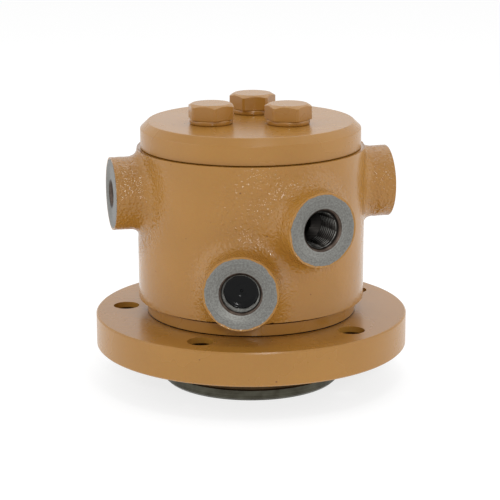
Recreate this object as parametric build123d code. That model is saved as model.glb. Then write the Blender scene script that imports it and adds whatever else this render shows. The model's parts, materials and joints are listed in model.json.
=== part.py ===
"""Hydraulic rotary union: three oil circuits pass between a fixed, flanged stem and a housing that turns on it.

Millimetres, +Z up. The origin is the centre of the stem's bottom face, on the turning axis.
Azimuths are in degrees from the front (-Y), positive towards +X. Heights along Z are from the origin.
"""

from build123d import *
import math
import os

# ---------------------------------------------------------------- driving dimensions

# Stem: bottom register, base flange, thrust step and journal, turned in one piece
register_diameter = 103.0
register_length = 21.0
register_land = 6.0
register_relief = 0.8
register_chamfer = 1.5
flange_diameter = 180.0
flange_thickness = 19.2
flange_chamfer = 0.8
flange_hole_diameter = 15.0
flange_hole_pitch_circle = 146.5
flange_hole_count = 5
flange_hole_azimuth = 36.8
step_diameter = 120.5
step_height = 8.6
journal_diameter = 76.0

# Housing: a casting that turns on the journal
housing_diameter = 130.0
housing_height = 87.0
boss_diameter = 41.2
boss_reach = 80.8
boss_root_fillet = 5.0
root_fillet_share = 0.53

# Ports, with parallel pipe threads cut at their nominal diameter
large_thread_diameter = 20.96
large_mouth_diameter = 24.0
large_thread_depth = 18.0
large_passage_diameter = 9.0
small_thread_diameter = 13.16
small_mouth_diameter = 16.9
small_thread_depth = 14.0
small_passage_diameter = 6.0
drill_point_angle = 118.0

# Boss azimuths, and heights from the housing's nearer end face
front_left_azimuth = -17.0
front_left_height = 21.0
front_right_azimuth = 15.6
front_right_depth = 33.2
side_azimuth = 90.0
side_depth = 24.0

# Oil circuits: annular grooves in the journal, fed by galleries from the bottom face
circuit_groove_width = 9.0
circuit_groove_depth = 4.0
middle_circuit_drop = 5.6
upper_circuit_rise = 4.6
gallery_diameter = 11.0
gallery_pitch_radius = 23.0
gallery_azimuth = 0.0

# Seals and bearings
seal_groove_width = 5.0
seal_groove_depth = 4.0
thrust_washer_width = 7.0
thrust_washer_thickness = 4.0
dust_seal_width = 3.5
end_recess_depth = 3.6

# Cover, held down on the journal by three bolts
cover_diameter = 125.8
cover_thickness = 14.6
cover_chamfer_height = 4.0
cover_chamfer_width = 4.2
bolt_diameter = 16.0
bolt_hole_diameter = 17.5
bolt_length = 40.0
bolt_across_flats = 24.0
bolt_corner_share = 0.965
bolt_face_share = 0.9
bolt_head_height = 8.6
bolt_head_chamfer_angle = 30.0
bolt_pitch_circle = 50.0
bolt_count = 3
bolt_azimuth = 44.5
bolt_head_turns = (-21.0, -6.0, 27.5)
tapped_hole_margin = 5.0
washer_outer_diameter = 24.4
washer_inner_diameter = 16.4
washer_thickness = 2.9
washer_slit = 1.5
dowel_diameter = 8.0
dowel_length = 20.0
dowel_pitch_radius = 25.0
dowel_azimuth = 104.5

# Shipping plug pressed into the front left port
plug_inset = 6.5
plug_length = 9.0
plug_wall = 1.6
plug_dish = 1.2

# Clearances, all radial or axial gaps between two faces
running_gap = 0.3
seal_running_gap = 0.08
fit_gap = 0.1
seat_gap = 0.05

# ---------------------------------------------------------------- heights and radii that follow

flange_bottom = register_length
flange_top = flange_bottom + flange_thickness
step_top = flange_top + step_height
seam = thrust_washer_thickness - end_recess_depth
housing_bottom = step_top + seam
housing_top = housing_bottom + housing_height
cover_bottom = housing_top + seam
cover_top = cover_bottom + cover_thickness

journal_radius = journal_diameter / 2
bore_radius = journal_radius + running_gap
recess_radius = bore_radius + thrust_washer_width + dust_seal_width

front_left_z = housing_bottom + front_left_height
front_right_z = housing_top - front_right_depth
side_z = housing_top - side_depth

lower_circuit_z = front_left_z
middle_circuit_z = front_right_z - middle_circuit_drop
upper_circuit_z = side_z + upper_circuit_rise
circuit_heights = (lower_circuit_z, middle_circuit_z, upper_circuit_z)

# One seal below, between and above the circuits, each midway along its land
land_ends = (
    housing_bottom + end_recess_depth - circuit_groove_width / 2,
    *circuit_heights,
    housing_top - end_recess_depth + circuit_groove_width / 2,
)
seal_heights = [(below + above) / 2 for below, above in zip(land_ends, land_ends[1:])]


# ---------------------------------------------------------------- helpers

BASE_CENTRED = (Align.CENTER, Align.CENTER, Align.MIN)
TOP_CENTRED = (Align.CENTER, Align.CENTER, Align.MAX)


def around(azimuth, radius, height=0.0):
    """The point at an azimuth, a distance from the axis and a height."""
    angle = math.radians(azimuth)
    return (radius * math.sin(angle), -radius * math.cos(angle), height)


def evenly(start, count):
    """The azimuths of a full circle of equally spaced features."""
    return [start + 360.0 * index / count for index in range(count)]


def turned(*outline):
    """The solid turned about Z from a closed outline of (radius, height) points."""
    points = [(radius, 0, height) for radius, height in outline]
    return revolve(make_face(Polyline(*points, close=True)), Axis.Z)


def ring(inner_radius, outer_radius, bottom, top):
    """A plain ring of rectangular section about Z."""
    return turned((inner_radius, bottom), (outer_radius, bottom), (outer_radius, top), (inner_radius, top))


def drilling(start, end, diameter):
    """A round drilling with flat ends between two points."""
    run = Vector(*end) - Vector(*start)
    return Plane(origin=start, z_dir=run) * Cylinder(diameter / 2, run.length, align=BASE_CENTRED)


def threaded_port(thread_diameter, mouth_diameter, depth):
    """A port cut along -Z from the origin: countersunk mouth, bore at the thread's diameter and drill point."""
    thread_radius = thread_diameter / 2
    mouth_radius = mouth_diameter / 2
    countersink = mouth_radius - thread_radius
    point_depth = thread_radius / math.tan(math.radians(drill_point_angle / 2))
    return turned(
        (0, countersink),
        (mouth_radius + countersink, countersink),
        (thread_radius, -countersink),
        (thread_radius, -depth),
        (0, -depth - point_depth),
    )


# ---------------------------------------------------------------- stem

def stem():
    """Register, flange, thrust step and journal, with circuit grooves, galleries and tapped holes."""
    register_radius = register_diameter / 2
    flange_radius = flange_diameter / 2
    relief_radius = register_radius - register_relief
    land_top = register_land
    body = turned(
        (0, 0),
        (register_radius - register_chamfer, 0),
        (register_radius, register_chamfer),
        (register_radius, land_top),
        (relief_radius, land_top + register_relief),
        (relief_radius, flange_bottom),
        (flange_radius - flange_chamfer, flange_bottom),
        (flange_radius, flange_bottom + flange_chamfer),
        (flange_radius, flange_top - flange_chamfer),
        (flange_radius - flange_chamfer, flange_top),
        (step_diameter / 2, flange_top),
        (step_diameter / 2, step_top),
        (journal_radius, step_top),
        (journal_radius, cover_bottom),
        (0, cover_bottom),
    )
    floor_radius = journal_radius - circuit_groove_depth
    for height in circuit_heights:
        half = circuit_groove_width / 2
        body -= ring(floor_radius, journal_radius + circuit_groove_depth, height - half, height + half)
    for azimuth, height in zip(evenly(gallery_azimuth, len(circuit_heights)), circuit_heights):
        mouth = Pos(*around(azimuth, gallery_pitch_radius)) * Rot(180, 0, 0)
        body -= mouth * threaded_port(large_thread_diameter, large_mouth_diameter, large_thread_depth)
        foot = around(azimuth, gallery_pitch_radius)
        top = around(azimuth, gallery_pitch_radius, height)
        body -= drilling(foot, top, gallery_diameter)
        body -= drilling(top, around(azimuth, journal_radius, height), large_passage_diameter)
    for azimuth in evenly(flange_hole_azimuth, flange_hole_count):
        low = around(azimuth, flange_hole_pitch_circle / 2, flange_bottom)
        high = around(azimuth, flange_hole_pitch_circle / 2, flange_top)
        body -= drilling(low, high, flange_hole_diameter)
    bolt_engagement = bolt_length - cover_thickness - washer_thickness
    tapped_floor = cover_bottom - bolt_engagement - tapped_hole_margin
    for azimuth in evenly(bolt_azimuth, bolt_count):
        floor = around(azimuth, bolt_pitch_circle / 2, tapped_floor)
        mouth = around(azimuth, bolt_pitch_circle / 2, cover_bottom)
        body -= drilling(floor, mouth, bolt_diameter)
    body -= dowel_hole()
    return body


# ---------------------------------------------------------------- housing

def boss_frame(azimuth, height):
    """The plane on a boss's face, with its Z pointing out along the boss."""
    return Plane(origin=around(azimuth, boss_reach, height), x_dir=(0, 0, 1), z_dir=around(azimuth, 1.0))


def boss(azimuth, height):
    """A boss from the housing's axis out to its machined face."""
    return boss_frame(azimuth, height) * Cylinder(boss_diameter / 2, boss_reach, align=TOP_CENTRED)


def boss_port(azimuth, height, circuit_z, thread_diameter, mouth_diameter, depth, passage_diameter):
    """The port in a boss, and the passage from its floor, slanted where needed, to its circuit's groove."""
    port = boss_frame(azimuth, height) * threaded_port(thread_diameter, mouth_diameter, depth)
    floor = around(azimuth, boss_reach - depth, height)
    outlet = around(azimuth, journal_radius, circuit_z)
    return port + drilling(floor, outlet, passage_diameter)


def front_boss_gap():
    """The width of barrel left between the two front bosses."""
    across = math.radians(front_right_azimuth - front_left_azimuth) * housing_diameter / 2
    return math.hypot(across, front_right_z - front_left_z) - boss_diameter


def housing():
    """The cast housing: barrel and bosses blended by root fillets, then bored, grooved and drilled."""
    large = (large_thread_diameter, large_mouth_diameter, large_thread_depth, large_passage_diameter)
    small = (small_thread_diameter, small_mouth_diameter, small_thread_depth, small_passage_diameter)
    ports = (
        (front_left_azimuth, front_left_z, lower_circuit_z, *large),
        (front_right_azimuth, front_right_z, middle_circuit_z, *large),
        (side_azimuth, side_z, upper_circuit_z, *large),
        (-side_azimuth, side_z, upper_circuit_z, *small),
    )
    # The barrel is cast longer than it is left, so that the fillets near its ends are faced off with it
    facing_stock = boss_diameter / 2
    barrel = Cylinder(housing_diameter / 2, housing_height + 2 * facing_stock)
    casting = Pos(0, 0, housing_bottom + housing_height / 2) * Rot(0, 0, 90) * barrel
    for azimuth, height, *_ in ports:
        casting += boss(azimuth, height)
    roots = casting.edges().filter_by(lambda edge: edge.geom_type == GeomType.BSPLINE)
    casting = fillet(roots, min(boss_root_fillet, root_fillet_share * front_boss_gap()))

    for height, side in ((housing_bottom, Align.MAX), (housing_top, Align.MIN)):
        waste = Cylinder(boss_reach + boss_diameter, 2 * facing_stock, align=(Align.CENTER, Align.CENTER, side))
        casting -= Pos(0, 0, height) * waste

    casting -= Pos(0, 0, housing_bottom) * Cylinder(bore_radius, housing_height, align=BASE_CENTRED)
    casting -= ring(0, recess_radius, housing_bottom, housing_bottom + end_recess_depth)
    casting -= ring(0, recess_radius, housing_top - end_recess_depth, housing_top)
    for height in seal_heights:
        half = seal_groove_width / 2
        casting -= ring(journal_radius, bore_radius + seal_groove_depth, height - half, height + half)
    for port in ports:
        casting -= boss_port(*port)
    return casting


# ---------------------------------------------------------------- seals and bearings

def pressure_seal(height):
    """A rectangular slipper seal that fills its groove in the housing and wipes the journal."""
    half = seal_groove_width / 2 - seat_gap
    outer_radius = bore_radius + seal_groove_depth - seat_gap
    return ring(journal_radius + seal_running_gap, outer_radius, height - half, height + half)


def thrust_washer(bottom):
    """A flat bearing washer that stands proud of its recess in the housing's end."""
    inner = journal_radius + running_gap
    return ring(inner, inner + thrust_washer_width - fit_gap, bottom, bottom + thrust_washer_thickness)


def dust_seal(bottom):
    """The rubber ring outside a thrust washer. It closes the seam round the housing's end."""
    return ring(recess_radius - dust_seal_width, recess_radius - seat_gap, bottom, bottom + thrust_washer_thickness)


# ---------------------------------------------------------------- cover and its fasteners

def dowel_hole():
    """The blind hole through the joint between cover and journal that holds the dowel."""
    x, y, _ = around(dowel_azimuth, dowel_pitch_radius)
    return Pos(x, y, cover_bottom) * Cylinder(dowel_diameter / 2 + seat_gap, dowel_length)


def cover():
    """The flat cover with its bevelled rim and three bolt holes."""
    radius = cover_diameter / 2
    disc = turned(
        (0, cover_bottom),
        (radius, cover_bottom),
        (radius, cover_top - cover_chamfer_height),
        (radius - cover_chamfer_width, cover_top),
        (0, cover_top),
    )
    for azimuth in evenly(bolt_azimuth, bolt_count):
        low = around(azimuth, bolt_pitch_circle / 2, cover_bottom)
        high = around(azimuth, bolt_pitch_circle / 2, cover_top)
        disc -= drilling(low, high, bolt_hole_diameter)
    return disc - dowel_hole()


def spring_washer(azimuth, slit_turn):
    """A split spring washer, pressed flat, under one bolt's head."""
    inner = washer_inner_diameter / 2
    outer = washer_outer_diameter / 2
    washer = ring(inner, outer, 0, washer_thickness)
    washer -= Rot(0, 0, slit_turn) * Pos(outer, 0, washer_thickness / 2) * Box(outer, washer_slit, washer_thickness)
    return Pos(*around(azimuth, bolt_pitch_circle / 2, cover_top)) * washer


def cover_bolt(azimuth, head_turn):
    """A forged hexagon head bolt with blunt corners and its shank in the journal's tapped hole."""
    seat = cover_top + washer_thickness
    hexagon = RegularPolygon(bolt_across_flats / 2, 6, major_radius=False)
    head = extrude(hexagon, bolt_head_height)
    corner_radius = bolt_corner_share * bolt_across_flats / math.sqrt(3)
    face_radius = bolt_face_share * bolt_across_flats / 2
    corner_drop = (corner_radius - face_radius) * math.tan(math.radians(bolt_head_chamfer_angle))
    head &= turned(
        (0, 0),
        (corner_radius, 0),
        (corner_radius, bolt_head_height - corner_drop),
        (face_radius, bolt_head_height),
        (0, bolt_head_height),
    )
    shank = Cylinder(bolt_diameter / 2 - fit_gap, bolt_length, align=TOP_CENTRED)
    bolt = Rot(0, 0, head_turn) * (head + shank)
    return Pos(*around(azimuth, bolt_pitch_circle / 2, seat)) * bolt


def dowel_pin():
    """The pin that keeps the cover from turning on the journal."""
    x, y, _ = around(dowel_azimuth, dowel_pitch_radius)
    return Pos(x, y, cover_bottom) * Cylinder(dowel_diameter / 2, dowel_length - 2 * seat_gap)


def port_plug():
    """The dished plastic plug pushed into the front left port, which keeps dirt out until it is connected."""
    radius = large_thread_diameter / 2 - seat_gap
    plug = turned(
        (0, -plug_inset - plug_dish),
        (radius - plug_wall, -plug_inset - plug_dish),
        (radius - plug_wall, -plug_inset),
        (radius, -plug_inset),
        (radius, -plug_inset - plug_length),
        (0, -plug_inset - plug_length),
    )
    return boss_frame(front_left_azimuth, front_left_z) * plug


# ---------------------------------------------------------------- the union's pieces, one file each

pieces = {
    "stem": stem(),
    "housing": housing(),
    "cover": cover(),
    "thrust_washer_lower": thrust_washer(step_top),
    "thrust_washer_upper": thrust_washer(cover_bottom - thrust_washer_thickness),
    "dust_seal_lower": dust_seal(step_top),
    "dust_seal_upper": dust_seal(cover_bottom - thrust_washer_thickness),
    "cover_dowel": dowel_pin(),
    "port_plug": port_plug(),
}
for number, height in enumerate(seal_heights, start=1):
    pieces[f"pressure_seal_{number}"] = pressure_seal(height)
for number, azimuth in enumerate(evenly(bolt_azimuth, bolt_count), start=1):
    head_turn = bolt_head_turns[(number - 1) % len(bolt_head_turns)]
    pieces[f"cover_bolt_{number}"] = cover_bolt(azimuth, head_turn)
    pieces[f"spring_washer_{number}"] = spring_washer(azimuth, head_turn)

os.makedirs("parts", exist_ok=True)
for name, shape in pieces.items():
    shape.label = name
    export_step(shape, f"parts/{name}.step")
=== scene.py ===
# Hydraulic rotary union: a flanged stem, a cast housing that turns on it, and a bolted cover.
# The scene is in metres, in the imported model's own frame. Sizes on the union are given in millimetres and
# pass through MM, and those of the studio are given in metres.

import json
import math

import bmesh
import bpy
from mathutils import Matrix, Vector, noise
from mathutils.bvhtree import BVHTree


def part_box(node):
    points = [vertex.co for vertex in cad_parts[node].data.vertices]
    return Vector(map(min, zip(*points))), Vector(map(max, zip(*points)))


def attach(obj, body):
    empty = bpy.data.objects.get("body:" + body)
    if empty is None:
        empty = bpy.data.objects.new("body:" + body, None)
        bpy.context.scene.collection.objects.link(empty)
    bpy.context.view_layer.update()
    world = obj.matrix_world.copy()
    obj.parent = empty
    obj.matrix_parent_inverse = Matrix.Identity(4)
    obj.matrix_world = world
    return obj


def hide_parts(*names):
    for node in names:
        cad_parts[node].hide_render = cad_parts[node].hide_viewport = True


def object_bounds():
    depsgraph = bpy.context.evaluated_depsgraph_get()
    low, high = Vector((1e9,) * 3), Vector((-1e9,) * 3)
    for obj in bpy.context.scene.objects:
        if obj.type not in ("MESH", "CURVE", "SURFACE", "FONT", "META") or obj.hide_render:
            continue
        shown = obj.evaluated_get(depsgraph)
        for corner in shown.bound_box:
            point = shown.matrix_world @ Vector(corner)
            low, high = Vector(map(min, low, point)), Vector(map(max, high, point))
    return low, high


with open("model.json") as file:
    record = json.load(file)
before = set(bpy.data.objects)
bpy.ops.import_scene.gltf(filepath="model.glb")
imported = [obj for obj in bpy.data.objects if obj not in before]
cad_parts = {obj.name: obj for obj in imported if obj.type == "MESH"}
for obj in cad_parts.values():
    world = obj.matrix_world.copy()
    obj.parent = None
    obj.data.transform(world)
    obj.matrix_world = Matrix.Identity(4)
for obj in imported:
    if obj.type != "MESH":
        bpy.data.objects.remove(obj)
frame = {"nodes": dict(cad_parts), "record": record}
cad_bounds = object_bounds()
MM = 0.001

# ------------------------------------------------------------------ studio: camera, floor and light
# The union stands on a plain white sheet in a light tent: bright from both sides and from above, softer from
# the front. The camera looks down on it a little from the left of its front.

camera_azimuth = math.radians(-13.0)
camera_distance = 1005.4 * MM
camera_height = 324.8 * MM
camera_pitch = 0.2438
camera_roll = -0.0028
camera_turn = 0.00056
focal_length = 128.8
sensor_width = 36.0

camera_data = bpy.data.cameras.new("camera")
camera_data.lens = focal_length
camera_data.sensor_width = sensor_width
camera = bpy.data.objects.new("camera", camera_data)
bpy.context.scene.collection.objects.link(camera)
camera.location = (
    camera_distance * math.sin(camera_azimuth),
    -camera_distance * math.cos(camera_azimuth),
    camera_height,
)
facing_object = Matrix.Rotation(camera_azimuth + camera_turn, 4, "Z")
tilt = Matrix.Rotation(math.pi / 2 - camera_pitch, 4, "X")
roll = Matrix.Rotation(camera_roll, 4, "Z")
camera.rotation_euler = (facing_object @ tilt @ roll).to_euler()
bpy.context.scene.camera = camera
bpy.context.scene.view_settings.view_transform = "Standard"


def linear(hex_colour):
    """The linear colour, with its alpha, of an sRGB hex value such as "b08250"."""
    channels = [int(hex_colour[start : start + 2], 16) / 255 for start in (0, 2, 4)]
    return [c / 12.92 if c <= 0.04045 else ((c + 0.055) / 1.055) ** 2.4 for c in channels] + [1.0]


def add(tree, kind, links=None, **settings):
    """Adds one shader node with its properties. Links maps an input to a value or to a node's output."""
    made = tree.nodes.new(kind)
    for name, value in settings.items():
        setattr(made, name, value)
    for name, value in (links or {}).items():
        socket = made.inputs[name]
        if isinstance(value, bpy.types.NodeSocket):
            tree.links.new(value, socket)
        else:
            socket.default_value = value
    return made


def emptied(owner):
    """The node tree of a new material or world, with no node in it."""
    owner.use_nodes = True
    owner.node_tree.nodes.clear()
    return owner.node_tree


def seen_directly(tree):
    """1 for camera, mirror and glass rays, which see plain white, and 0 for light that falls on things."""
    path = add(tree, "ShaderNodeLightPath")
    mirror, glass, eye = (path.outputs[f"Is {kind} Ray"] for kind in ("Glossy", "Transmission", "Camera"))
    mirror_or_glass = add(tree, "ShaderNodeMath", {0: mirror, 1: glass}, operation="MAXIMUM")
    any_of_them = add(tree, "ShaderNodeMath", {0: mirror_or_glass.outputs[0], 1: eye}, operation="MAXIMUM")
    return any_of_them.outputs[0]


# The tent dims smoothly towards the camera. Where it begins and stops dimming is the cosine of the angle
# between a direction and the camera's, which lies a little above the horizon.
tent_strength = 0.68
front_strength = 0.36
dimming_begins = 0.2
dimming_ends = 0.9
front_rise = 0.1

world = bpy.data.worlds.new("light_tent")
bpy.context.scene.world = world
sky = emptied(world)
towards_camera = Vector((math.sin(camera_azimuth), -math.cos(camera_azimuth), front_rise)).normalized()
direction = add(sky, "ShaderNodeTexCoord").outputs["Generated"]
frontness = add(sky, "ShaderNodeVectorMath", {0: direction, 1: towards_camera}, operation="DOT_PRODUCT")
tent = add(
    sky, "ShaderNodeMapRange",
    {
        "Value": frontness.outputs["Value"], "From Min": dimming_begins, "From Max": dimming_ends,
        "To Min": tent_strength, "To Max": front_strength,
    },
    interpolation_type="SMOOTHSTEP",
)
tent_or_white = {"Value": seen_directly(sky), "To Min": tent.outputs[0], "To Max": 1.0}
strength = add(sky, "ShaderNodeMapRange", tent_or_white)
background = add(sky, "ShaderNodeBackground", {"Color": linear("ffffff"), "Strength": strength.outputs[0]})
add(sky, "ShaderNodeOutputWorld", {"Surface": background.outputs[0]})

sheet_size = 12.0
sheet_gap = 0.05 * MM
sheet_glow = 0.77
sheet_edge = sheet_size / 2

corners = [(x * sheet_edge, y * sheet_edge, 0) for x, y in ((-1, -1), (1, -1), (1, 1), (-1, 1))]
floor_mesh = bpy.data.meshes.new("floor")
floor_mesh.from_pydata(corners, [], [(0, 1, 2, 3)])
floor = bpy.data.objects.new("floor", floor_mesh)
bpy.context.scene.collection.objects.link(floor)
floor.location.z = cad_bounds[0][2] - sheet_gap
# Matt paper lit through from below, so that it shows white and takes only a faint, soft shadow
paper = bpy.data.materials.new("white_paper_sheet")
tree = emptied(paper)
diffuse = add(tree, "ShaderNodeBsdfDiffuse", {"Color": linear("9c9c9c")})
glow = add(tree, "ShaderNodeEmission", {"Color": linear("ffffff"), "Strength": sheet_glow})
both = add(tree, "ShaderNodeAddShader", {0: diffuse.outputs[0], 1: glow.outputs[0]})
add(tree, "ShaderNodeOutputMaterial", {"Surface": both.outputs[0]})
floor_mesh.materials.append(paper)

lamp_aim = Vector((0, 0, 90 * MM))


def soft_box(name, azimuth, elevation, distance, width, height, power):
    """A rectangular studio lamp aimed at the middle of the union, its azimuth counted from the camera's."""
    data = bpy.data.lights.new(name, "AREA")
    data.shape = "RECTANGLE"
    data.size = width
    data.size_y = height
    data.energy = power
    lamp = bpy.data.objects.new(name, data)
    bpy.context.scene.collection.objects.link(lamp)
    turn = math.radians(azimuth) + camera_azimuth
    rise = math.radians(elevation)
    away = Vector((math.sin(turn) * math.cos(rise), -math.cos(turn) * math.cos(rise), math.sin(rise)))
    lamp.location = lamp_aim + away * distance
    lamp.rotation_euler = away.to_track_quat("Z", "Y").to_euler()


soft_box("left_panel", azimuth=-75, elevation=20, distance=1.1, width=0.9, height=1.1, power=2.6)
soft_box("right_panel", azimuth=80, elevation=15, distance=1.1, width=0.9, height=1.1, power=2.5)
soft_box("overhead_panel", azimuth=170, elevation=60, distance=1.2, width=1.4, height=0.9, power=3.6)
soft_box("camera_lamp", azimuth=4, elevation=19, distance=1.3, width=0.11, height=0.11, power=2.8)
soft_box("top_lamp", azimuth=20, elevation=68, distance=1.2, width=0.2, height=0.2, power=1.3)

# ------------------------------------------------------------------ stem
# Register, flange, step and, out of sight, the journal, turned in one piece from a steel forging. The
# flange and step are sprayed ochre with the rest of the union. Below the flange it is bare but for some mist.

# The paint's patterns: the drift of its tone, its flecks and pits, orange peel, and the sand's grain under
# it, which is drawn about three times as coarse as foundry sand so that it shows
paint_drift = 30
paint_fleck = 1.6
pit_spacing = 6.5
pit_depth = 0.08
orange_peel = 1.5
sand_grain = 1.6

# How much of the fleck's colour shows, and of the sand's grain where the mould was fine. Half the pits' cells
# have no pit, and the widest pit and its rim are given as shares of a cell.
fleck_share = 0.07
fine_sand_share = 0.1
empty_share = 0.5
widest_pit = 0.07
pit_rim = 0.03


def per_mm(size):
    """The scale of a texture whose features are this many millimetres across."""
    return 1 / (size * MM)


def enamel(name, roughness, peel_depth, grain_depth):
    """Glossy alkyd machinery enamel, sprayed thick: an ochre film with orange peel that follows the metal."""
    material = bpy.data.materials.new(name)
    tree = emptied(material)
    place = add(tree, "ShaderNodeTexCoord").outputs["Object"]
    drift = add(tree, "ShaderNodeTexNoise", {"Vector": place, "Scale": per_mm(paint_drift), "Detail": 3.0})
    fleck = add(tree, "ShaderNodeTexNoise", {"Vector": place, "Scale": per_mm(paint_fleck), "Detail": 2.0})
    colour = add(
        tree, "ShaderNodeMix",
        {"Factor": drift.outputs["Fac"], "A": linear("9e6f2d"), "B": linear("ac7a33")}, data_type="RGBA",
    )
    flecked = add(
        tree, "ShaderNodeMix",
        {"Factor": fleck_share, "A": colour.outputs["Result"], "B": fleck.outputs["Color"]},
        data_type="RGBA", blend_type="SOFT_LIGHT",
    )
    # Pinholes and specks of grit under the film, about one to the square centimetre: each cell has one at
    # most, and the random colour of the cell says how wide it is
    pits = add(tree, "ShaderNodeTexVoronoi", {"Vector": place, "Scale": per_mm(pit_spacing)})
    some = add(tree, "ShaderNodeSeparateColor", {"Color": pits.outputs["Color"]})
    reach = add(
        tree, "ShaderNodeMapRange",
        {"Value": some.outputs["Red"], "From Min": empty_share, "To Max": widest_pit},
    )
    away = {0: pits.outputs["Distance"], 1: reach.outputs[0]}
    edge = add(tree, "ShaderNodeMath", away, operation="SUBTRACT")
    pit = add(tree, "ShaderNodeMapRange", {"Value": edge.outputs[0], "From Min": 0.0, "From Max": pit_rim})
    speckled = add(
        tree, "ShaderNodeMix",
        {"Factor": pit.outputs[0], "A": linear("7d5122"), "B": flecked.outputs["Result"]}, data_type="RGBA",
    )
    rough = add(
        tree, "ShaderNodeMapRange",
        {"Value": drift.outputs["Fac"], "To Min": roughness - 0.05, "To Max": roughness + 0.05},
    )
    # The sand's grain shows where the mesh says the mould was coarse, and hardly at all elsewhere
    peel = add(tree, "ShaderNodeTexNoise", {"Vector": place, "Scale": per_mm(orange_peel), "Detail": 2.0})
    grain = add(tree, "ShaderNodeTexNoise", {"Vector": place, "Scale": per_mm(sand_grain), "Detail": 1.0})
    coarse = add(tree, "ShaderNodeAttribute", attribute_name="coarse_sand")
    depth = add(tree, "ShaderNodeMath", {0: coarse.outputs["Fac"], 1: fine_sand_share}, operation="ADD")
    relief = add(tree, "ShaderNodeMath", {0: grain.outputs["Fac"], 1: depth.outputs[0]}, operation="MULTIPLY")
    normal = None
    for height, strength, distance in (
        (relief.outputs[0], 1.0, grain_depth), (peel.outputs["Fac"], 1.0, peel_depth),
        (pit.outputs[0], 0.5, pit_depth),
    ):
        inputs = {"Height": height, "Strength": strength, "Distance": distance * MM}
        if normal:
            inputs["Normal"] = normal
        normal = add(tree, "ShaderNodeBump", inputs).outputs[0]
    shader = add(
        tree, "ShaderNodeBsdfPrincipled",
        {
            "Base Color": speckled.outputs["Result"], "Roughness": rough.outputs[0], "IOR": 1.5,
            "Normal": normal,
        },
    )
    add(tree, "ShaderNodeOutputMaterial", {"Surface": shader.outputs[0]})
    return material


def turned_metal(
    name, dark, bright, roughness, lathe_feed, groove_depth, along_axis, ring_share=0.45, grain_size=7
):
    """Bare metal as the tool left it: rings along the axis or outwards from it, and grain.

    A lathe's real feed is about a fifth of a millimetre. Most rings are drawn coarser, so that they show."""
    material = bpy.data.materials.new(name)
    tree = emptied(material)
    place = add(tree, "ShaderNodeTexCoord").outputs["Object"]
    if along_axis:
        run = add(tree, "ShaderNodeSeparateXYZ", {"Vector": place}).outputs["Z"]
    else:
        flat = add(tree, "ShaderNodeVectorMath", {0: place, 1: (1.0, 1.0, 0.0)}, operation="MULTIPLY")
        run = add(
            tree, "ShaderNodeVectorMath", {0: flat.outputs["Vector"]}, operation="LENGTH"
        ).outputs["Value"]
    rings = add(
        tree, "ShaderNodeTexNoise", {"W": run, "Scale": per_mm(lathe_feed), "Detail": 2.0},
        noise_dimensions="1D",
    )
    stain = add(tree, "ShaderNodeTexNoise", {"Vector": place, "Scale": per_mm(grain_size), "Detail": 4.0})
    tone = add(tree, "ShaderNodeMath", {0: rings.outputs["Fac"], 1: ring_share}, operation="MULTIPLY")
    tint = add(
        tree, "ShaderNodeMath", {0: stain.outputs["Fac"], 1: 1 - ring_share, 2: tone.outputs[0]},
        operation="MULTIPLY_ADD",
    )
    contrast = add(tree, "ShaderNodeMapRange", {"Value": tint.outputs[0], "From Min": 0.35, "From Max": 0.65})
    colour = add(
        tree, "ShaderNodeMix",
        {"Factor": contrast.outputs[0], "A": linear(dark), "B": linear(bright)}, data_type="RGBA",
    )
    rough = add(
        tree, "ShaderNodeMapRange",
        {"Value": stain.outputs["Fac"], "To Min": roughness - 0.08, "To Max": roughness + 0.08},
    )
    bump = add(
        tree, "ShaderNodeBump",
        {"Height": tint.outputs[0], "Strength": 1.0, "Distance": groove_depth * MM},
    )
    shader = add(
        tree, "ShaderNodeBsdfPrincipled",
        {
            "Base Color": colour.outputs["Result"], "Metallic": 1.0, "Roughness": rough.outputs[0],
            "Normal": bump.outputs[0],
        },
    )
    add(tree, "ShaderNodeOutputMaterial", {"Surface": shader.outputs[0]})
    return material


weld_distance = 0.002


def joined(node):
    """A CAD node's surface with its faces welded at their edges, ready to work on."""
    made = bmesh.new()
    made.from_mesh(frame["nodes"][node].data)
    bmesh.ops.remove_doubles(made, verts=made.verts, dist=weld_distance * MM)
    return made


def finished(made, name, sharp_angle=35):
    """A worked surface as a mesh, smooth but for the edges sharper than the angle."""
    mesh = bpy.data.meshes.new(name)
    made.to_mesh(mesh)
    made.free()
    mesh.polygons.foreach_set("use_smooth", [True] * len(mesh.polygons))
    mesh.set_sharp_from_angle(angle=math.radians(sharp_angle))
    return mesh


flat_within = math.radians(0.5)
sharp_beyond = math.radians(25)


def eased(node, width, segments=2, longest=1000.0):
    """A copy of a CAD node with its sharp edges rounded, as paint leaves them.

    Edges longer than the longest, in millimetres, stay sharp."""
    made = joined(node)
    bmesh.ops.dissolve_limit(made, angle_limit=flat_within, verts=made.verts, edges=made.edges)
    short = [edge for edge in made.edges if edge.is_manifold and edge.calc_length() < longest * MM]
    sharp = [edge for edge in short if edge.calc_face_angle() > sharp_beyond]
    bmesh.ops.bevel(
        made, geom=sharp, offset=width * MM, segments=segments, profile=0.5, affect="EDGES",
        clamp_overlap=True,
    )
    return finished(made, node + "_eased")


def add_piece(name, mesh, body, materials, *nodes, place=None, slot=None, flat_faces=False):
    """Puts a mesh on a body in place of the CAD nodes named, with its finishes and, if given, its own frame.

    With flat_faces, the shading of its large faces stays flat right up to their rounded edges."""
    piece = bpy.data.objects.new(name, mesh)
    bpy.context.scene.collection.objects.link(piece)
    for material in materials:
        mesh.materials.append(material)
    if place:
        piece.matrix_world = place
    if flat_faces:
        piece.modifiers.new("flat_faces", "WEIGHTED_NORMAL").keep_sharp = True
    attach(piece, body)
    if nodes:
        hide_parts(*nodes)


# Satin gloss over turned steel: plain ochre, with only a faint peel to break the edges of its highlights
smooth_enamel = enamel("ochre_enamel_on_turned_steel", roughness=0.27, peel_depth=0.014, grain_depth=0.15)
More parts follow.
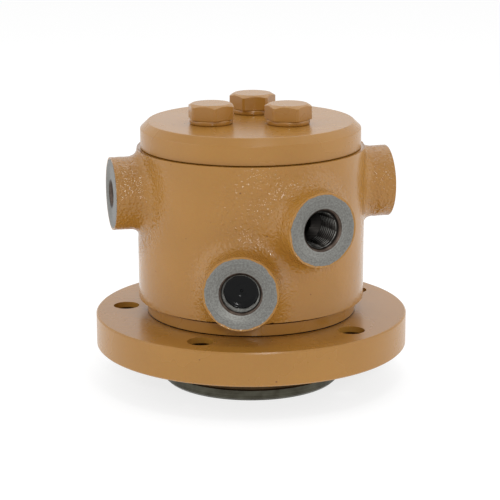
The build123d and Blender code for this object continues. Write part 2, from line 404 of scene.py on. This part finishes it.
# Steel that has stood in a store: dark and a little green, with a soft sheen and fine rings
register_steel = turned_metal(
    "dark_turned_steel", "3b382f", "5c5b50", roughness=0.36, lathe_feed=0.5, groove_depth=0.02,
    along_axis=True,
)
# The same steel where mist from the spray gun has drifted in under the flange: browner and dull
misted_steel = turned_metal(
    "mist_sprayed_steel", "3f3121", "5f4b34", roughness=0.6, lathe_feed=0.5, groove_depth=0.02,
    along_axis=True,
)
# Painted shade: steel coloured a near-black brown, with a little grime, for the shade in the seams and bolt
# holes
painted_shade_steel = turned_metal(
    "steel_with_painted_shade", "22140a", "3a2412", roughness=0.5, lathe_feed=0.5, groove_depth=0.01,
    along_axis=True,
)
painted, bare, painted_shade, misted = range(4)
stem_finishes = (smooth_enamel, register_steel, painted_shade_steel, misted_steel)

mounts = {mount["name"]: mount for mount in frame["record"]["mounts"]}
flange_bottom = mounts["flange_face"]["pos_m"][2]
flange_thickness = 19.2
# The register's lower end is a land that stands proud of the rest, which is relieved
register_land = 6.0
stem_edge = 0.35
# Wide enough to tell a face that lies in a plane from one that starts there
hair = 0.05

edge_shadow = 2.1
corner_shadow = 0.7
spray_depth = 3.3
inside_rim = 82

# Painted shade: under the housing's edge and right into the corner at the step's foot, the steel is coloured
# near black
housing_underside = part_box("housing")[0].z
shadowed_top = housing_underside - edge_shadow * MM
step_foot = flange_bottom + flange_thickness * MM
shadowed_foot = step_foot + corner_shadow * MM
# The bolt holes are painted ochre a little way down, and below that their walls are coloured near black as
# painted shade. The flange's own rim, outside the holes, is painted all the way down.
sprayed_bore = step_foot - spray_depth * MM

stem_surface = bmesh.new()
stem_surface.from_mesh(eased("stem", stem_edge))
for height in (shadowed_top, shadowed_foot, sprayed_bore):
    everything = stem_surface.verts[:] + stem_surface.edges[:] + stem_surface.faces[:]
    bmesh.ops.bisect_plane(stem_surface, geom=everything, plane_co=(0, 0, height), plane_no=(0, 0, 1))
stem_mesh = finished(stem_surface, "stem_sprayed")
for face in stem_mesh.polygons:
    height = face.center.z
    in_corner = step_foot + hair * MM < height < shadowed_foot
    upright = abs(face.normal.z) < 0.5
    in_bolt_hole = height < sprayed_bore and upright and face.center.xy.length < inside_rim * MM
    if height < flange_bottom + 2 * hair * MM:
        face.material_index = misted if height > register_land * MM else bare
    # Painted shade: the dark seam lines and the lower bolt-hole walls take the near-black steel
    elif height > shadowed_top or in_corner or in_bolt_hole:
        face.material_index = painted_shade
    else:
        face.material_index = painted
add_piece("stem_painted", stem_mesh, "stem", stem_finishes, "stem", slot="painted_stem", flat_faces=True)

# ------------------------------------------------------------------ bearing washers and seals
# Four slipper seals of filled PTFE and, at each end, a bronze thrust washer inside a nitrile dust seal.
# They are pushed into their grooves before the housing slides over the journal, and hardly show after that.

skin_relief = 0.01


def moulded(name, colour, roughness, speck_size, shine=0.5):
    """A rubber or plastic straight from its mould: one colour, faintly clouded, with a fine skin."""
    material = bpy.data.materials.new(name)
    tree = emptied(material)
    place = add(tree, "ShaderNodeTexCoord").outputs["Object"]
    cloud = add(tree, "ShaderNodeTexNoise", {"Vector": place, "Scale": per_mm(speck_size), "Detail": 4.0})
    tone = add(tree, "ShaderNodeMapRange", {"Value": cloud.outputs["Fac"], "To Min": 0.85, "To Max": 1.15})
    shade = add(
        tree, "ShaderNodeVectorMath", {0: linear(colour)[:3], "Scale": tone.outputs[0]}, operation="SCALE"
    )
    rough = add(
        tree, "ShaderNodeMapRange",
        {"Value": cloud.outputs["Fac"], "To Min": roughness - 0.06, "To Max": roughness + 0.06},
    )
    bump = add(
        tree, "ShaderNodeBump",
        {"Height": cloud.outputs["Fac"], "Strength": 1.0, "Distance": skin_relief * MM},
    )
    shader = add(
        tree, "ShaderNodeBsdfPrincipled",
        {
            "Base Color": shade.outputs["Vector"], "Roughness": rough.outputs[0], "IOR": 1.5,
            "Specular IOR Level": shine, "Normal": bump.outputs[0],
        },
    )
    add(tree, "ShaderNodeOutputMaterial", {"Surface": shader.outputs[0]})
    return material


# Dull green-brown, with the filler just showing
filled_ptfe = moulded("bronze_filled_ptfe", "3a4a40", roughness=0.45, speck_size=0.8)
# Warm and fairly bright, with the tool's rings
turned_bronze = turned_metal(
    "turned_bronze", "8a6a44", "b48a58", roughness=0.3, lathe_feed=0.4, groove_depth=0.01, along_axis=False
)
# Matt black, a shade lighter where it is dusty
nitrile_rubber = moulded("nitrile_rubber", "1c1c1d", roughness=0.6, speck_size=1.2)
# Hardened steel from the grinder: smooth and bright
ground_steel = turned_metal(
    "ground_steel", "8c8c8e", "b4b4b6", roughness=0.22, lathe_feed=0.2, groove_depth=0.003, along_axis=True
)
hidden_finishes = {
    "pressure_seal": ("slipper_seal", filled_ptfe),
    "thrust_washer": ("bearing_bronze", turned_bronze),
    "dust_seal": ("rubber_seal", nitrile_rubber),
    "cover_dowel": ("hardened_pin", ground_steel),
}
for node, item in frame["nodes"].items():
    for start, (slot, material) in hidden_finishes.items():
        if node.startswith(start):
            item.data.materials.clear()
            item.data.materials.append(material)

# ------------------------------------------------------------------ housing
# A sand casting in grey iron with four bosses. Its ends, bore and boss faces are machined, then the outside
# is sprayed ochre. The skin of the casting is lumpy under the paint, most of all on the bosses.

# The mesh of the skin, how near a rim its points are laid on the rim, and the band beside each machined
# edge in which the lumps of the casting rise
skin_step = 0.8
snap_reach = 0.6 * skin_step
edge_margin = 0.6
cast_begins = 0.6
cast_is_full = 2.4

# The lumps of the skin and the ripples on them, and how much of them is left where the mould's sand was fine
lump_size = 5.2
lump_height = 0.13
ripple_size = 2.6
ripple_height = 0.10
fine_lump_share = 0.3

# Coarse sand reaches this far from each centre, and fades out over the next stretch
front_coarse_radius = 22
side_coarse_radius = 28
valley_coarse_radius = 18
coarse_fade = 16
valley_azimuth = math.radians(-9)
valley_drop = 25

boss_radius = 20.6
front_root_blend = 10.5
side_root_blend = 6.5
large_mouth_radius = 12.0
small_mouth_radius = 8.45
passage_depth = 30
bore_margin = 6

port_front_right = mounts["port_front_right"]
port_right = mounts["port_right"]
port_left = mounts["port_left"]
plug_low, plug_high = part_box("port_plug")
plug_middle = (plug_low + plug_high) / 2
housing_low, housing_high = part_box("housing")
housing_radius = housing_high.y / MM


def face_centre(mount, mouth_radius):
    """The centre of a machined port face: the thread's outer end and the countersink beyond it."""
    axis = Vector(mount["axis"])
    reach = mount["dims"]["length_mm"] / 2 + mouth_radius - mount["dims"]["r_mm"]
    return Vector(mount["pos_m"]) + axis * reach * MM


# Each boss: the centre of its face, its axis, and how broadly its root blends into the barrel
front_right_face = face_centre(port_front_right, large_mouth_radius)
boss_reach = Vector((front_right_face.x, front_right_face.y, 0)).length
plug_axis = Vector((plug_middle.x, plug_middle.y, 0)).normalized()
front_left_face = plug_axis * boss_reach + Vector((0, 0, plug_middle.z))
bosses = (
    (front_left_face, plug_axis, front_root_blend),
    (front_right_face, Vector(port_front_right["axis"]), front_root_blend),
    (face_centre(port_right, large_mouth_radius), Vector(port_right["axis"]), side_root_blend),
    (face_centre(port_left, small_mouth_radius), Vector(port_left["axis"]), side_root_blend),
)

# Where the mould's sand was coarse: round the foot of each boss, and between the front two up to the top
boss_height = boss_reach - housing_radius * MM
boss_feet = [face - axis * boss_height for face, axis, _ in bosses]
valley_outwards = Vector((math.sin(valley_azimuth), -math.cos(valley_azimuth), 0))
valley = valley_outwards * housing_radius * MM + Vector((0, 0, housing_high.z - valley_drop * MM))
coarse_radii = (front_coarse_radius, front_coarse_radius, side_coarse_radius, side_coarse_radius)
coarse_spots = [*zip(boss_feet, coarse_radii), (valley, valley_coarse_radius)]


def ramp(value, low, high):
    """0 up to low, 1 from high on, and a smooth rise between."""
    share = min(max((value - low) / (high - low), 0.0), 1.0)
    return share * share * (3 - 2 * share)


def boss_place(point, face, axis):
    """How far a point lies beyond a boss's face, and from the boss's centre line, in millimetres."""
    offset = point - face
    beyond = offset.dot(axis)
    return beyond / MM, (offset - axis * beyond).length / MM


def outside(point):
    """How far a point lies outside the barrel and bosses, in millimetres, with their roots blended in."""
    distance = math.hypot(point.x, point.y) / MM - housing_radius
    for face, axis, blend in bosses:
        beyond, across = boss_place(point, face, axis)
        if beyond > -boss_reach / MM / 2:
            flank = across - boss_radius
            share = max(blend - abs(distance - flank), 0.0) / blend
            distance = min(distance, flank) - share * share * blend / 4
    return distance


def to_skin(point, level):
    """A point moved onto the blended skin: straight out from it or, if level is set, at its own height."""
    nudge = 0.05 * MM
    least_slope = 0.1
    nudges = (Vector((nudge, 0, 0)), Vector((0, nudge, 0)), Vector((0, 0, 0 if level else nudge)))
    for _ in range(3):
        here = outside(point)
        slope = Vector([outside(point + step) - here for step in nudges]) / (nudge / MM)
        point = point - slope * (here * MM / max(slope.length_squared, least_slope))
    return point


def is_machined(point, margin):
    """Whether a point of the housing's surface is in its bore, its recesses, a passage or a port."""
    if math.hypot(point.x, point.y) / MM < housing_radius - margin:
        return True
    for face, axis, _ in bosses:
        beyond, across = boss_place(point, face, axis)
        if -passage_depth < beyond and across < boss_radius - margin:
            return True
    return False


def coarse_sand(point):
    """How coarse the mould's sand was: 1 near a boss and above the front valley, 0 on the plain barrel."""
    return max(
        1 - ramp((point - centre).length / MM, full_radius, full_radius + coarse_fade)
        for centre, full_radius in coarse_spots
    )


def cast_share(point):
    """0 on machined faces and 1 on cast ones, with a narrow band between where the tool smoothed the edge."""
    depth = min(point.z - housing_low.z, housing_high.z - point.z) / MM
    for face, axis, _ in bosses:
        beyond, across = boss_place(point, face, axis)
        if -passage_depth < beyond and across < boss_radius + edge_margin:
            depth = min(depth, -beyond)
    return ramp(depth, cast_begins, cast_is_full)


def remeshed(node, step):
    """A copy of a CAD node's surface as even square faces, laid back on the CAD surface."""
    welded = bpy.data.objects.new(node + "_even", finished(joined(node), node + "_welded"))
    bpy.context.scene.collection.objects.link(welded)
    grid = welded.modifiers.new("grid", "REMESH")
    grid.mode = "VOXEL"
    grid.voxel_size = step * MM
    made = bmesh.new()
    made.from_object(welded, bpy.context.evaluated_depsgraph_get())
    made.normal_update()
    surface = joined(node)
    tree = BVHTree.FromBMesh(surface)
    for vertex in made.verts:
        vertex.co = tree.find_nearest(vertex.co)[0]
    surface.free()
    bpy.data.objects.remove(welded)
    return made


skin = remeshed("housing", skin_step)
coarseness = skin.verts.layers.float.new("coarse_sand")
skin_vertices = [vertex for vertex in skin.verts if not is_machined(vertex.co, edge_margin)]
rim = set()
for vertex in skin_vertices:
    end = min((housing_low.z, housing_high.z), key=lambda height: abs(vertex.co.z - height))
    near_end = abs(vertex.co.z - end) < snap_reach * MM
    if near_end and outside(vertex.co) > -snap_reach:
        vertex.co.z = end
        vertex.co = to_skin(vertex.co, level=True)
        rim.add(vertex)
    elif not near_end:
        vertex.co = to_skin(vertex.co, level=False)
    for face, axis, _ in bosses:
        beyond, across = boss_place(vertex.co, face, axis)
        if math.hypot(beyond, across - boss_radius) < snap_reach:
            centre_line = face + axis * (vertex.co - face).dot(axis)
            vertex.co = face + (vertex.co - centre_line).normalized() * boss_radius * MM
            rim.add(vertex)
# A square whose opposite corners lie on a rim is cut between them, so that the rim is an unbroken line of
# edges
for face in skin.faces[:]:
    for first, last in ((0, 2), (1, 3)):
        if len(face.verts) == 4 and face.verts[first] in rim and face.verts[last] in rim:
            bmesh.utils.face_split(face, face.verts[first], face.verts[last])
skin.normal_update()
lifts = []
for vertex in skin_vertices:
    coarse = coarse_sand(vertex.co)
    vertex[coarseness] = coarse
    lumps = noise.noise(vertex.co * per_mm(lump_size)) * lump_height
    ripples = noise.noise(vertex.co * per_mm(ripple_size)) * ripple_height
    share = (fine_lump_share + coarse) * cast_share(vertex.co)
    lifts.append(vertex.normal * (lumps + ripples) * share * MM)
for vertex, lift in zip(skin_vertices, lifts):
    vertex.co += lift
for face in skin.faces:
    # The bore, recesses, passages and ports take the near-black iron, partly as painted shade
    face.material_index = 1 if is_machined(face.calc_center_median(), bore_margin) else 0

# The same ochre over rough iron: wetter and thicker, and broken by the sand's grain into many small sparkles
cast_enamel = enamel("ochre_enamel_on_casting", roughness=0.18, peel_depth=0.04, grain_depth=0.72)
# Bored iron under a film of oil, coloured nearly black as painted shade deep in the ports, with a dull shine
bored_iron = turned_metal(
    "oiled_bored_iron_painted_shade", "131211", "262422", roughness=0.4, lathe_feed=0.6, groove_depth=0.01, along_axis=True
)
skin_mesh = finished(skin, "housing_skin", sharp_angle=40)
add_piece("housing_skin", skin_mesh, "housing", (cast_enamel, bored_iron), "housing", slot="painted_casting")

# ------------------------------------------------------------------ ports
# Each boss face is spot-faced flat and its port drilled, countersunk and tapped with a parallel pipe
# thread. The faces are masked for spraying, so the paint stops in an uneven line just inside their edge.

turn_points = 96
rows_per_pitch = 10
thread_height_share = 0.54
thread_start_turns = 0.8
crest_share = 0.75
large_pitch = 1.814
small_pitch = 1.337

# The ring that carries a face and thread lies just inside the bore's wall and reaches back into the metal.
# It stands a hair proud of a boss's face, and lies a hair below the stem's bottom face.
wall_gap = 0.05
wall_backing = 0.4
mouth_gap = 0.1
skirt_depth = 1.2
backing_depth = 1.8
collar = 0.5
face_lift = 0.05
hidden_lift = -0.02

# The bare faces, and how far the paint creeps in over them: in broad waves and in small ones
bare_radius = 19.6
bottom_bare_radius = 13.2
creep = 0.6
creep_waves = 3
small_creep = 0.35
small_creep_waves = 12


def bare_edge(angle, radius, seed):
    """The radius of a masked face at an angle round it, where the paint creeps in unevenly."""
    round_about = Vector((math.cos(angle), math.sin(angle), 0))
    broad = noise.noise(round_about * creep_waves + Vector((0, 0, seed)))
    return radius + creep * broad + small_creep * noise.noise(round_about * small_creep_waves)


def tapped_face(name, mouth_radius, thread_radius, pitch, depth, face_radius, lift, seed):
    """The face round a port, its countersink and its thread, in one closed ring about +Z."""
    crest = thread_radius - thread_height_share * pitch
    root = thread_radius - wall_gap
    countersink = mouth_radius - thread_radius
    backing = thread_radius + wall_backing
    rows = [("face", -skirt_depth), ("face", lift), ("inner face", lift), (mouth_radius - mouth_gap, lift)]
    mouth_row = len(rows) - 1
    count = int((depth - countersink) / pitch * rows_per_pitch)
    rows += [("thread", -countersink - index * pitch / rows_per_pitch) for index in range(count + 1)]
    rows += [(backing, rows[-1][1]), (backing, -backing_depth)]
    made = bmesh.new()
    loops = []
    crests = set()
    for kind, height in rows:
        loop = []
        for step in range(turn_points):
            angle = 2 * math.pi * step / turn_points
            if kind == "face":
                radius = bare_edge(angle, face_radius, seed)
            elif kind == "inner face":
                radius = bare_edge(angle, face_radius, seed) - collar
            elif kind == "thread":
                turn = (-height / pitch - step / turn_points) % 1
                ridge = 1 - abs(2 * turn - 1)
                cut_in = ramp(-height - countersink, 0, thread_start_turns * pitch)
                radius = root + (crest - root) * ridge * cut_in
                if ridge > crest_share:
                    crests.add((len(loops), step))
            else:
                radius = kind
            place = Vector((radius * math.cos(angle), radius * math.sin(angle), height))
            loop.append(made.verts.new(place * MM))
        loops.append(loop)
    face_finish, flank_finish, lip_finish = range(3)
    for row, (loop, following) in enumerate(zip(loops, loops[1:] + loops[:1])):
        for step in range(turn_points):
            after = (step + 1) % turn_points
            face = made.faces.new((loop[step], loop[after], following[after], following[step]))
            # Crests keep the lighter face finish as painted glints, and the flanks take the dark one
            if row == mouth_row:
                face.material_index = lip_finish
            elif row > mouth_row and (row, step) not in crests:
                face.material_index = flank_finish
            else:
                face.material_index = face_finish
    bmesh.ops.recalc_face_normals(made, faces=made.faces)
    return finished(made, name, sharp_angle=50)


def facing(centre, axis):
    """The frame with its origin at a point and its Z along an axis."""
    return Matrix.Translation(centre) @ axis.to_track_quat("Z", "Y").to_matrix().to_4x4()


# Cast iron cut dry: mid grey and matt, grainy from its graphite, with only faint rings from the cutter
cut_iron = turned_metal(
    "spot_faced_cast_iron", "676662", "868682", roughness=0.5, lathe_feed=0.5, groove_depth=0.01,
    along_axis=False, ring_share=0.3, grain_size=1.1,
)
# The countersink keeps a reddish bloom of rust and oil, so each mouth has a thin warm lip
rusty_iron = turned_metal(
    "countersink_with_light_rust", "332c28", "63564d", roughness=0.38, lathe_feed=0.5, groove_depth=0.01,
    along_axis=True, grain_size=4,
)
# The thread's flanks are coloured dark, for oil and as painted shade in the port, and its crests take the
# face's lighter colour as painted glints
tapped_iron = turned_metal(
    "oiled_and_shaded_thread_flanks", "1d1b1a", "3d3a37", roughness=0.3, lathe_feed=1.8, groove_depth=0.01,
    along_axis=True,
)

large = dict(mouth_radius=large_mouth_radius, thread_radius=10.48, pitch=large_pitch, depth=17.5)
small = dict(mouth_radius=small_mouth_radius, thread_radius=6.58, pitch=small_pitch, depth=13.5)
port_kinds = (("front_left", large), ("front_right", large), ("right", large), ("left", small))
for seed, ((where, thread), (centre, axis, _)) in enumerate(zip(port_kinds, bosses)):
    name = "port_face_" + where
    mesh = tapped_face(name, face_radius=bare_radius, lift=face_lift, seed=seed, **thread)
    place = facing(centre, axis)
    # The plugged port's thread takes the light face colour all round instead of the dark flank colour, as
    # painted light
    thread_finish = cut_iron if where == "front_left" else tapped_iron
    port_finishes = (cut_iron, thread_finish, rusty_iron)
    add_piece(name, mesh, "housing", port_finishes, place=place, slot="painted_casting")
for seed, circuit in enumerate(("lower", "middle", "upper"), start=10):
    name = "port_thread_" + circuit
    bottom_finishes = (register_steel, tapped_iron, register_steel)
    mount = mounts[f"port_bottom_{circuit}_circuit"]
    mesh = tapped_face(name, face_radius=bottom_bare_radius, lift=hidden_lift, seed=seed, **large)
    place = facing(face_centre(mount, large_mouth_radius), Vector(mount["axis"]))
    add_piece(name, mesh, "stem", bottom_finishes, place=place)

# ------------------------------------------------------------------ shipping plug
# A dished cap of black low-density polyethylene, pushed into the front left port by hand. It is moulded
# with a raised rim and shows its gate as a dot in the middle.

plug_radius = 10.4
plug_depth = 7.6
plug_setback = 7.7
plug_points = 72
plug_profile = (
    (0.0, 0.45), (0.6, 0.35), (0.9, 0.0), (3.0, 0.06), (3.2, 0.2), (3.4, 0.2), (3.6, 0.1), (6.6, 0.35),
    (8.3, 0.75), (8.8, 1.1), (9.1, 1.25), (9.7, 1.25), (10.1, 1.1), (plug_radius, 0.8),
    (plug_radius, -plug_depth), (0.0, -plug_depth),
)


def spun(name, profile, points):
    """A closed surface of revolution about Z from (radius, height) points that start and end on the axis."""
    made = bmesh.new()
    first = made.verts.new((0, 0, profile[0][1] * MM))
    last = made.verts.new((0, 0, profile[-1][1] * MM))
    angles = [2 * math.pi * step / points for step in range(points)]
    loops = [
        [made.verts.new((radius * math.cos(a) * MM, radius * math.sin(a) * MM, height * MM)) for a in angles]
        for radius, height in profile[1:-1]
    ]
    for step in range(points):
        after = (step + 1) % points
        made.faces.new((first, loops[0][step], loops[0][after]))
        made.faces.new((last, loops[-1][after], loops[-1][step]))
        for loop, following in zip(loops, loops[1:]):
            made.faces.new((loop[step], following[step], following[after], loop[after]))
    bmesh.ops.recalc_face_normals(made, faces=made.faces)
    return finished(made, name, sharp_angle=40)


# Glossy where it was moulded against polished steel, so the dish catches the light as a thin bright crescent
black_polyethylene = moulded("black_polyethylene", "08090a", roughness=0.16, speck_size=4.0, shine=0.14)
plug_mesh = spun("port_plug_dished", plug_profile, plug_points)
plug_seat = front_left_face - plug_axis * plug_setback * MM
add_piece(
    "port_plug_dished", plug_mesh, "housing", (black_polyethylene,), "port_plug",
    place=facing(plug_seat, plug_axis), slot="black_plastic",
)

# ------------------------------------------------------------------ cover
# A steel disc turned with a broad bevel round its rim and sprayed on the union. It sits on the journal's
# end, a thin seam above the housing.

cover_edge = 0.3

cover_mesh = eased("cover", cover_edge, 3)
add_piece(
    "cover_painted", cover_mesh, "stem", (smooth_enamel,), "cover", slot="painted_cover", flat_faces=True
)

# ------------------------------------------------------------------ cover bolts and spring washers
# Three forged hexagon head bolts on split spring washers, done up before the union was sprayed, so the paint
# rounds their edges and bridges the washers' lower corners.

head_edge = 0.5
washer_edge = 0.8
# Only the edges of a washer's rims are rounded, which are shorter than this: its split's ends stay square
rim_facet = 2.5

for number in (1, 2, 3):
    washer = f"spring_washer_{number}"
    bolt = f"cover_bolt_{number}"
    ring = eased(washer, washer_edge, 3, longest=rim_facet)
    add_piece(washer + "_painted", ring, "stem", (smooth_enamel,), washer, slot="painted_washer")
    head = eased(bolt, head_edge, 3)
    add_piece(bolt + "_painted", head, "stem", (smooth_enamel,), bolt, slot="painted_bolt", flat_faces=True)
